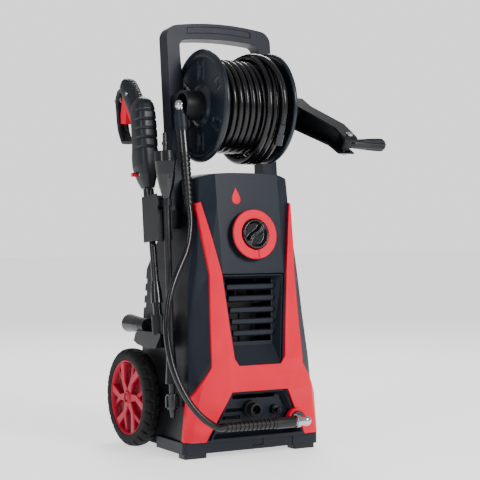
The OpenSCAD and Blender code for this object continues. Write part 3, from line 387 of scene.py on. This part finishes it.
def winding_point(t):
    """Point of the wound hose after t turns from its start on the core."""
    total = first_turns + second_turns
    angle = end_angle - 2 * math.pi * (total - t)
    into_second = t - first_turns
    if into_second < 0:
        radius = first_r - 0.009 * (1 - smooth(0, 0.15, t))
        x = left_x + first_pitch * t
    else:
        lifted = smooth(0, 0.4, into_second)
        radius = first_r + (second_r - first_r) * lifted + sag * (1 - math.sin(angle)) * lifted
        x = right_x - 0.003 * lifted - second_pitch * max(into_second - 0.25, 0)
        x += 0.0028 * math.sin(angle + 0.6) * smooth(0.0, 1.8, into_second)
        last = smooth(second_turns - 0.34, second_turns - 0.05, into_second)
        radius += (end_r - radius) * last
        x += (coupling_x - x) * smooth(second_turns - 0.5, second_turns - 0.05, into_second)
    return Vector((x, reel_axis.y + radius * math.cos(angle), reel_axis.z + radius * math.sin(angle)))


winding_steps = int((first_turns + second_turns) * turn_steps)
winding = [winding_point(i / turn_steps) for i in range(winding_steps + 1)]
hose("long_hose", winding, "reel", "reel_hose", far_end="fitting", stiffness="medium", lay="coiled",
     with_pieces=[cad["hose_coupling"]])


# ---------------------------------------------------------------- gun body
gun_place = upright(joints["wand_twist"]["pos_m"], joints["wand_twist"]["axis"])

# Barrel rows: height, half width, front, back
barrel_rows = (
    (0.012, 0.0115, -0.014, 0.016), (0.024, 0.0150, -0.017, 0.024), (0.040, 0.0190, -0.0215, 0.032),
    (0.058, 0.0220, -0.0240, 0.037), (0.078, 0.0228, -0.0260, 0.036), (0.100, 0.0230, -0.0275, 0.030),
    (0.132, 0.0232, -0.0285, 0.027), (0.170, 0.0225, -0.0280, 0.028), (0.184, 0.0200, -0.0250, 0.025),
    (0.193, 0.0160, -0.0195, 0.019), (0.199, 0.0105, -0.0120, 0.012), (0.2015, 0.0030, -0.0040, 0.006))
barrel_steps = 126
first_groove = 0.0935
groove_pitch = 0.019
groove_half = 0.0028
groove_depth = 0.0022
grooved_from = 0.085
grooved_to = 0.178
seam_depth = 0.0007


def gun_barrel():
    """Shell around the wand's root, with grooves across its front and a seam down its middle."""
    barrel = []
    for i in range(barrel_steps + 1):
        z = barrel_rows[0][0] + (barrel_rows[-1][0] - barrel_rows[0][0]) * i / barrel_steps
        half_w, front, back = level(barrel_rows, z)
        pitches = (z - first_groove) / groove_pitch
        groove = max(1 - abs(pitches - round(pitches)) * groove_pitch / groove_half, 0.0)
        groove *= 1.0 if grooved_from < z < grooved_to else 0.0
        ring = []
        for across, deep in oval(half_w, (back - front) / 2, 2.9, 48):
            cut = groove_depth * groove * smooth(0.0, -0.012, deep)
            seam = seam_depth * (1 - smooth(0.0004, 0.0014, abs(across)))
            shrink = 1 - (cut + seam) / max(math.hypot(across, deep), 0.004)
            ring.append(gun_place @ Vector((across * shrink, (front + back) / 2 + deep * shrink, z)))
        barrel.append(ring)
    return loft(barrel)


# Grip rows: distance from its start, half width, half depth
grip_start = Vector((0, 0.008, 0.162))
grip_end = Vector((0, 0.0605, 0.2445))
grip_line = (grip_end - grip_start).normalized()
grip_front = grip_line.cross(Vector((1, 0, 0)))
grip_rows = ((0.0, 0.0165, 0.0150), (0.018, 0.0185, 0.0200), (0.045, 0.0180, 0.0195),
             (0.080, 0.0185, 0.0185), (0.094, 0.0175, 0.0170), (0.102, 0.0135, 0.0130),
             (0.1065, 0.0040, 0.0040))
grip_steps = 100
rib_pitch = 0.0066
rib_depth = 0.0007


def gun_grip():
    """Ribbed hand grip that leans back from the top of the barrel."""
    grip = []
    for i in range(grip_steps + 1):
        z = grip_rows[-1][0] * i / grip_steps
        half_w, half_d = level(grip_rows, z)
        rib = rib_depth * (0.5 + 0.5 * math.cos(2 * math.pi * z / rib_pitch))
        rib = rib * smooth(0.022, 0.034, z) * smooth(0.100, 0.092, z)
        ring = []
        for across, deep in oval(half_w - rib, half_d - rib, 2.6, 48):
            offset = Vector((across, 0, 0))
            ring.append(gun_place @ (grip_start + grip_line * z + offset + grip_front * deep))
        grip.append(ring)
    return loft(grip)


# Middle line of the trigger guard: back, height
guard_line = ((0.066, 0.2300), (0.076, 0.2345), (0.086, 0.2325), (0.0935, 0.2240), (0.0970, 0.2100),
              (0.0970, 0.1900), (0.0970, 0.1700), (0.0945, 0.1520), (0.0885, 0.1370), (0.0815, 0.1240))
guard_half_w = 0.013
guard_half_t = 0.0052


def gun_guard():
    """Bow that guards the trigger."""
    guard = []
    for i, (y, z) in enumerate(guard_line):
        y0, z0 = guard_line[max(i - 1, 0)]
        y1, z1 = guard_line[min(i + 1, len(guard_line) - 1)]
        out = Vector((0, z1 - z0, y0 - y1)).normalized()
        ring = []
        for across, deep in oval(guard_half_w, guard_half_t, 3.0, 32):
            ring.append(gun_place @ (Vector((across, y, z)) + out * deep))
        guard.append(ring)
    return loft(guard)


put("gun_body", [gun_barrel(), gun_grip(), gun_guard()], "gun", grip_black,
    ["gun_shell_left", "gun_shell_right"], 42)


# ---------------------------------------------------------------- wheels
rim_seat = 0.0772
rim_slack = 0.0004
hub_hole = 0.0062
tread_blocks = 26
block_gap = 0.0034
groove_cut = 0.0016
centre_notch = 0.0012
dish_floor = 0.0150
spoke_turn = math.pi / 3
# Arms of a forked spoke: start, end, half width at each end, depth of the face at the start and at the end
spoke_arms = (((0.010, 0.0), (0.037, 0.003), 0.0095, 0.0065, 0.0040, 0.0042),
              ((0.037, 0.003), (0.0745, -0.0140), 0.0065, 0.0090, 0.0042, 0.0034),
              ((0.037, 0.003), (0.0725, 0.0225), 0.0050, 0.0060, 0.0046, 0.0095))


def wheel(side, rim_node, tyre_node):
    """Tyre with blocks on its shoulders, and a dished rim with six forked spokes. Heights run inwards."""
    low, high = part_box(tyre_node)
    outside = low.x if side < 0 else high.x
    centre = (low + high) / 2
    place = along((outside, centre.y, centre.z), (-side, 0, 0))
    tyre_r = (high.z - low.z) / 2
    width = high.x - low.x
    half_profile = ((0.0010, rim_seat), (0.0002, 0.0810), (0.0, 0.0860), (0.0004, 0.0905),
                    (0.0014, 0.0940), (0.0030, 0.0966), (0.0052, 0.0985), (0.0080, 0.0998),
                    (0.0115, 0.1005), (0.0135, 0.1008), (0.0150, tyre_r))
    profile = list(half_profile) + [(width - h, r) for h, r in reversed(half_profile)]

    def tread(height, radius, angle):
        """Gaps between the shoulder blocks, two grooves and a notched band between them."""
        off = height - width / 2
        shoulder = smooth(0.0045, 0.0075, abs(off)) * smooth(0.0895, 0.0955, radius)
        turn = angle * tread_blocks / (2 * math.pi) + (0.5 if off > 0 else 0.0) + abs(off) * 14
        gap = 1 - smooth(0.08, 0.14, abs(turn - round(turn)))
        groove = 1 - smooth(0.0, 0.0014, abs(abs(off) - 0.0052))
        notches = angle * (2 * tread_blocks) / (2 * math.pi)
        notch = 1 - smooth(0.05, 0.10, abs(notches - round(notches)))
        middle_cut = centre_notch * notch if abs(off) < 0.0035 else 0.0
        return height, radius - block_gap * gap * shoulder - groove_cut * groove - middle_cut

    body = rim_node.replace("_rim", "_wheel")
    put(tyre_node + "_tread", [spun(profile, place, 520, tread, looped=True)], body, tyre_black,
        [tyre_node], 32)

    rim_r = rim_seat - rim_slack

    def dish(height, radius, angle):
        """Hub cap in the middle, spokes above the dish's floor and a lip around it."""
        if height > 0.016 or radius > 0.0735:
            return height, radius
        if radius < 0.0160:
            cap = smooth(0.0140, 0.0128, radius)
            pit = smooth(0.0100, 0.0088, radius)
            button = smooth(0.0062, 0.0050, radius)
            return 0.0040 - 0.0032 * cap + 0.0034 * pit - 0.0022 * button, radius
        spoke = angle * side
        spoke -= round(spoke / spoke_turn) * math.pi / 3
        p = Vector((radius * math.cos(spoke), radius * math.sin(spoke)))
        top = 0.0
        for start, end, w0, w1, h0, h1 in spoke_arms:
            a, b = Vector(start), Vector(end)
            t = min(max((p - a).dot(b - a) / (b - a).length_squared, 0.0), 1.0)
            away = (p - a - (b - a) * t).length
            half_w = w0 + (w1 - w0) * t
            edge = smooth(half_w + 0.0011, half_w - 0.0011, away)
            top = max(top, edge * (dish_floor - h0 - (h1 - h0) * t))
        rise = 0.004 * smooth(0.030, 0.014, radius)
        lip = 0.010 * smooth(0.0690, 0.0735, radius)
        return dish_floor - max(top, rise, lip), radius

    rows = [(0.003, 0.0004)] + [(0.010, 0.0015 + 0.0012 * i) for i in range(60)]
    rows += [(0.0042, 0.0738), (0.0022, 0.0745), (0.0016, 0.0757), (0.0022, rim_r), (width - 0.001, rim_r),
             (width - 0.001, 0.072), (0.021, 0.071), (0.021, 0.020), (width, 0.020), (width, hub_hole),
             (0.020, hub_hole)]
    put(rim_node + "_dish", [spun(rows, place, 360, dish)], body, rim_red, [rim_node], 50)


wheel(-1, "left_rim", "left_tyre")
wheel(1, "right_rim", "right_tyre")


# ---------------------------------------------------------------- switch
knob_frame = upright(joints["switch_turn"]["pos_m"], joints["switch_turn"]["axis"])
knob_low, knob_high = 0.0065, 0.0228
knob_r = (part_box("switch_knob")[1].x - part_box("switch_knob")[0].x) / 2
shaft_l = 0.0285
shaft_r = 0.0060
lever = math.radians(50)


def knob_face(height, radius, angle):
    """S-shaped grip bar with a fine groove, between two deep crescent scoops."""
    if height < knob_high - 0.0002:
        return height, radius
    along_bar = radius * math.cos(angle - lever)
    across = radius * math.sin(angle - lever) + 0.0030 * math.sin(along_bar / 0.0085)
    scoop = 0.0072 * smooth(0.0040, 0.0085, abs(across)) * smooth(0.0265, 0.0205, radius)
    bar = 0.0030 * smooth(0.0056, 0.0034, abs(across)) * smooth(0.0270, 0.0225, radius)
    groove = 0.0022 * smooth(0.0018, 0.0004, abs(across - 0.0012)) * smooth(0.0230, 0.0190, radius)
    return height + bar - groove - scoop, radius


knob_rows = [(knob_low - shaft_l, 0.0006), (knob_low - shaft_l, shaft_r), (knob_low, 0.0061),
             (knob_low, knob_r - 0.001), (knob_low + 0.001, knob_r), (knob_high - 0.0040, knob_r),
             (knob_high - 0.0018, knob_r - 0.0005), (knob_high - 0.0006, knob_r - 0.0014)]
knob_rows += [(knob_high, knob_r - 0.0026 - 0.0006 * i) for i in range(45)]
put("knob_body", [spun(knob_rows, knob_frame, 240, knob_face)], "knob", gloss, ["switch_knob"], 40)

ring_out, ring_in = 0.0500, 0.0312
ring_low, ring_high = 0.0141, 0.0180
window_depth = 0.0032


def ring_face(height, radius, angle):
    """Shallow window at the lowest point of the ring."""
    off = abs(angle - 1.5 * math.pi) * radius
    window = smooth(0.0070, 0.0062, off * (1.15 - 6 * (radius - ring_in))) * smooth(0.0485, 0.0478, radius)
    return height - (window_depth * window if height > 0.0165 else 0.0), radius


ring_rows = [(ring_low, ring_in), (ring_high - 0.0005, ring_in), (ring_high, ring_in + 0.0006)]
ring_rows += [(ring_high, ring_in + 0.0006 + 0.0009 * i) for i in range(1, 19)]
ring_rows += [(ring_high - 0.0006, ring_out - 0.0010), (ring_high - 0.0018, ring_out - 0.0003),
              (ring_low, ring_out)]
put("switch_ring", [spun(ring_rows, knob_frame, 240, ring_face, looped=True)], "body", red,
    ["knob_ring"], 40)


# ---------------------------------------------------------------- crank grip
grip_low, grip_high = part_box("crank_grip")
grip_l = grip_high.x - grip_low.x
grip_axis = joints["grip_spin"]["pos_m"]
grip_place = along((grip_low.x, grip_axis[1], grip_axis[2]), (1, 0, 0))
grip_profile = ((0.0, 0.0036), (0.0, 0.0082), (0.0010, 0.0090), (0.006, 0.0096), (0.016, 0.0104),
                (0.028, 0.0114), (0.040, 0.0124), (0.052, 0.0131), (0.062, 0.0135), (0.069, 0.0134),
                (0.0725, 0.0128), (0.0748, 0.0114), (grip_l, 0.0095), (grip_l, 0.0070),
                (grip_l - 0.0010, 0.0068), (grip_l - 0.0010, 0.0036))
row_length = 0.0025
flutes = 9
flute_depth = 0.0024


def fluted(height, radius, angle):
    """Flutes that deepen towards the grip's free end."""
    if radius < 0.0088:
        return height, radius
    flute = (0.5 + 0.5 * math.cos(flutes * angle)) ** 2
    return height, radius - flute_depth * flute * smooth(0.014, 0.052, height)


fine_profile = []
for (h0, r0), (h1, r1) in zip(grip_profile, grip_profile[1:]):
    pieces = max(int(abs(h1 - h0) / row_length), 1)
    fine_profile += [(h0 + (h1 - h0) * k / pieces, r0 + (r1 - r0) * k / pieces) for k in range(pieces)]
fine_profile.append(grip_profile[-1])
put("fluted_grip", [spun(fine_profile, grip_place, 144, fluted, looped=True)], "grip", grip_black,
    ["crank_grip"], 50)


# ---------------------------------------------------------------- reel flanges
slot_turn = math.pi / 3
slot_depth = 0.0016
web_rise = 0.0014


def flange(node, side):
    """Reel flange with a rolled edge, six blind slots and ribs beside them. Heights run inwards."""
    low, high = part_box(node)
    place = along((low.x if side < 0 else high.x, reel_axis.y, reel_axis.z), (-side, 0, 0))
    out_r = (high.z - low.z) / 2
    rows = [(0.0, 0.0101), (0.0, 0.0300), (0.0008, 0.0340), (0.0030, 0.0380), (0.0050, 0.0415)]
    rows += [(0.0056, 0.0440 + 0.0016 * i) for i in range(34)]
    rows += [(0.0050, 0.0990), (0.0032, 0.1004), (0.0014, 0.1016), (0.0006, 0.1032), (0.0004, 0.1060),
             (0.0008, 0.1085), (0.0018, 0.1110), (0.0034, 0.1129), (0.0054, out_r), (0.0078, out_r),
             (0.0098, 0.1130), (0.0110, 0.1116), (0.0114, 0.1095), (0.0108, 0.1075), (0.0092, 0.1062),
             (0.0082, 0.1040), (0.0080, 0.0900), (0.0080, 0.0101)]

    def face(height, radius, angle):
        """Relief of the flange's outer face."""
        if not 0.0550 < radius < 0.0960 or height > 0.0070:
            return height, radius
        sector = angle - round((angle - math.pi / 6) / slot_turn) * math.pi / 3 - math.pi / 6
        off = abs(sector) * radius
        slot = smooth(0.0062, 0.0048, off) * smooth(0.0575, 0.0595, radius) * smooth(0.0815, 0.0795, radius)
        web = smooth(0.0022, 0.0010, abs(off - 0.0105)) * smooth(0.094, 0.088, radius)
        return height + slot_depth * slot - web_rise * web, radius

    put(node + "_dish", [spun(rows, place, 240, face, looped=True)], "reel", reel_gloss, [node], 40)


flange("reel_flange_left", -1)
flange("reel_flange_right", 1)


# ---------------------------------------------------------------- plain drop emblem on the upper panel
well_ahead = -0.3
drop_x, drop_z, drop_h = -0.028, 0.516, 0.017
drop_points = 72
# Layers of the emblem: share of its outline, distance in front of the cover
drop_layers = ((1.0, -0.0008), (1.0, 0.0004), (0.96, 0.0009), (0.90, 0.0011), (0.5, 0.0012), (0.04, 0.0012))


def on_cover(x, z, proud):
    """Point in front of the cover's surface by the distance proud."""
    return Vector((x, surface_point("front_cover", (x, well_ahead, z), (0, 1, 0)).y - proud, z))


def drop_skin():
    """Flat drop that follows the cover, with rounded edges."""
    drop = []
    for scale, proud in drop_layers:
        ring = []
        for k in range(drop_points):
            angle = 2 * math.pi * k / drop_points
            narrow = math.sin(angle / 2) ** 1.5
            ring.append(on_cover(drop_x + scale * drop_h * 0.80 * narrow * math.sin(angle),
                                 drop_z - 0.003 + scale * (drop_h * math.cos(angle) + 0.003), proud))
        drop.append(ring)
    return loft(drop)


put("drop_emblem", [drop_skin()], "body", red, [], 50)


# ---------------------------------------------------------------- knurled strip on the handle's top bar
bar_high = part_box("handle_frame")[1]
bar_y = surface_point("handle_frame", (0, well_ahead, bar_high.z - 0.010), (0, 1, 0)).y + 0.010
well_above = 1.0
strip_half = 0.076
strip_columns = 76
strip_rows = 15
strip_drop = 0.0055
row_step = 0.001
knurl_pitch = 0.0042
knurl_rise = 0.0007
strip_proud = 0.0003
strip_sunk = 0.0004


def strip_skin():
    """Thin sheet on the bar's face with crossed knurling that fades out at its edges."""
    strip = []
    for i in range(2 * strip_columns + 1):
        x = strip_half * (i / strip_columns - 1)
        top_z = surface_point("handle_frame", (x, bar_y, well_above), (0, 0, -1)).z
        fade = smooth(strip_half, 0.072, abs(x))
        front_row, back_row = [], []
        for k in range(strip_rows):
            z = top_z - strip_drop - row_step * k
            face_y = surface_point("handle_frame", (x, well_ahead, z), (0, 1, 0)).y
            rising = math.sin(math.pi * (x + z - top_z) / knurl_pitch)
            falling = math.sin(math.pi * (x - z + top_z) / knurl_pitch)
            knurl = abs(rising * falling)
            proud = (strip_proud + knurl_rise * knurl) * fade * smooth(-0.5, 1.5, k) * smooth(14.5, 12.5, k)
            front_row.append(Vector((x, face_y - proud, z)))
            back_row.append(Vector((x, face_y + strip_sunk, z)))
        strip.append(front_row + back_row[::-1])
    return loft(strip)


put("handle_strip", [strip_skin()], "body", slate, [], 50)


# ---------------------------------------------------------------- dark pleated sheet behind the rear louvres, painted shade in their gaps
diagonal = 0.7071
shade_sheet_x, shade_sheet_y, shade_sheet_z = 0.1105, 0.2165, 0.202
shade_sheet_h = 0.148
shade_sheet_half_w = 0.017
shade_sheet_half_t = 0.0012
shade_sheet_folds = 58
fold_depth = 0.0008
shade_sheet_corners = ((-shade_sheet_half_w, -shade_sheet_half_t), (shade_sheet_half_w, -shade_sheet_half_t),
                (shade_sheet_half_w, shade_sheet_half_t), (-shade_sheet_half_w, shade_sheet_half_t))


def shade_sheet_skin(side):
    """Upright dark pleated sheet across one rear corner of the machine, painted shade behind the louvres'
    gaps.
    """
    pleats = []
    for i in range(shade_sheet_folds + 1):
        z = shade_sheet_z + shade_sheet_h * i / shade_sheet_folds
        shift = fold_depth * (-1) ** i
        ring = []
        for across, deep in shade_sheet_corners:
            out = shade_sheet_x + (across + deep + shift) * diagonal
            ring.append(Vector((side * out, shade_sheet_y + (deep + shift - across) * diagonal, z)))
        pleats.append(ring)
    return loft(pleats)


# Dark sheet put in so that the louvres' gaps show painted shade
put("louvre_shade_sheet", [shade_sheet_skin(-1), shade_sheet_skin(1)], "body", shade, [], 20)


# ---------------------------------------------------------------- carried-over frame nodes
carried = {
    slate: ["base_tray", "front_cover", "handle_frame", "hose_nut", "upper_grille", "lower_grille"],
    black: ["rear_housing", "knob_boss", "reel_bracket_left", "reel_bracket_right", "crank_arm",
            "crank_knuckle", "side_holder", "nozzle_rest", "trigger_lock", "water_inlet"],
    gloss: ["lance_shield", "turbo_nozzle", "hose_sleeve", "outlet_union", "lance_nozzle",
            "nozzle_collar", "gun_nozzle"],
    reel_gloss: ["reel_core"],
    red: ["red_fascia", "trigger", "gun_button"],
    boot_black: ["front_feet", "upper_relief", "lower_relief", "cable_gland"],
    tube_black: ["gun_wand", "spare_lance"],
    chrome: ["hub_swivel", "outlet_elbow"],
    dark_chrome: ["hose_coupling", "detergent_nipple"],
    zinc: ["wheel_axle", "housing_screws", "gun_screws", "gun_inlet", "crank_pin"],
    cast: ["pump_head", "motor_body"],
    plates: ["motor_rotor"],
    shade: ["switch_box", "capacitor"],
}
for surface, names in carried.items():
    for node in names:
        dress(cad[node], surface)


# ---------------------------------------------------------------- floor and light
def lamp(name, place, aim, size, power):
    """White rectangular lamp at place, turned towards aim."""
    data = bpy.data.lights.new(name, "AREA")
    data.shape = "RECTANGLE"
    data.size = size[0]
    data.size_y = size[1]
    data.energy = power
    light = bpy.data.objects.new(name, data)
    bpy.context.scene.collection.objects.link(light)
    light.location = place
    light.rotation_euler = (Vector(aim) - Vector(place)).to_track_quat("-Z", "Y").to_euler()


world = bpy.data.worlds.new("studio")
world.use_nodes = True
soft = world.node_tree.nodes["Background"]
soft.inputs["Color"].default_value = (1, 1, 1, 1)
soft.inputs["Strength"].default_value = 0.50
backdrop = world.node_tree.nodes.new("ShaderNodeBackground")
backdrop.inputs["Color"].default_value = (1, 1, 1, 1)
backdrop.inputs["Strength"].default_value = 1.5
seen = world.node_tree.nodes.new("ShaderNodeLightPath")
chosen = world.node_tree.nodes.new("ShaderNodeMixShader")
world.node_tree.links.new(seen.outputs["Is Camera Ray"], chosen.inputs[0])
world.node_tree.links.new(soft.outputs[0], chosen.inputs[1])
world.node_tree.links.new(backdrop.outputs[0], chosen.inputs[2])
world.node_tree.links.new(chosen.outputs[0], world.node_tree.nodes["World Output"].inputs["Surface"])
bpy.context.scene.world = world
lamp("key", (0.7, -2.6, 1.7), (0, 0.05, 0.45), (0.9, 1.1), 74)
lamp("side", (-2.3, -0.9, 1.5), (0, 0.1, 0.4), (0.4, 1.4), 16)
lamp("back", (0.9, 1.9, 2.2), (0, 0.1, 0.6), (1.2, 0.8), 40)

floor_finish = finish("floor", "slate_plastic", (0.90, 0.90, 0.90), 0.7, grain=0.004, mottle=0.01, worn=0.0)
floor_shader = floor_finish.node_tree.nodes["Principled BSDF"]
floor_shader.inputs["Emission Color"].default_value = (1, 1, 1, 1)
floor_shader.inputs["Emission Strength"].default_value = 0.95
floor_mesh = bpy.data.meshes.new("floor")
floor_half = 14.0
floor_z = cad_box[0].z
corners = ((-1, -1), (1, -1), (1, 1), (-1, 1))
floor_mesh.from_pydata([(x * floor_half, y * floor_half, floor_z) for x, y in corners], [], [(0, 1, 2, 3)])
floor = bpy.data.objects.new("floor", floor_mesh)
bpy.context.scene.collection.objects.link(floor)
floor.data.materials.append(floor_finish)
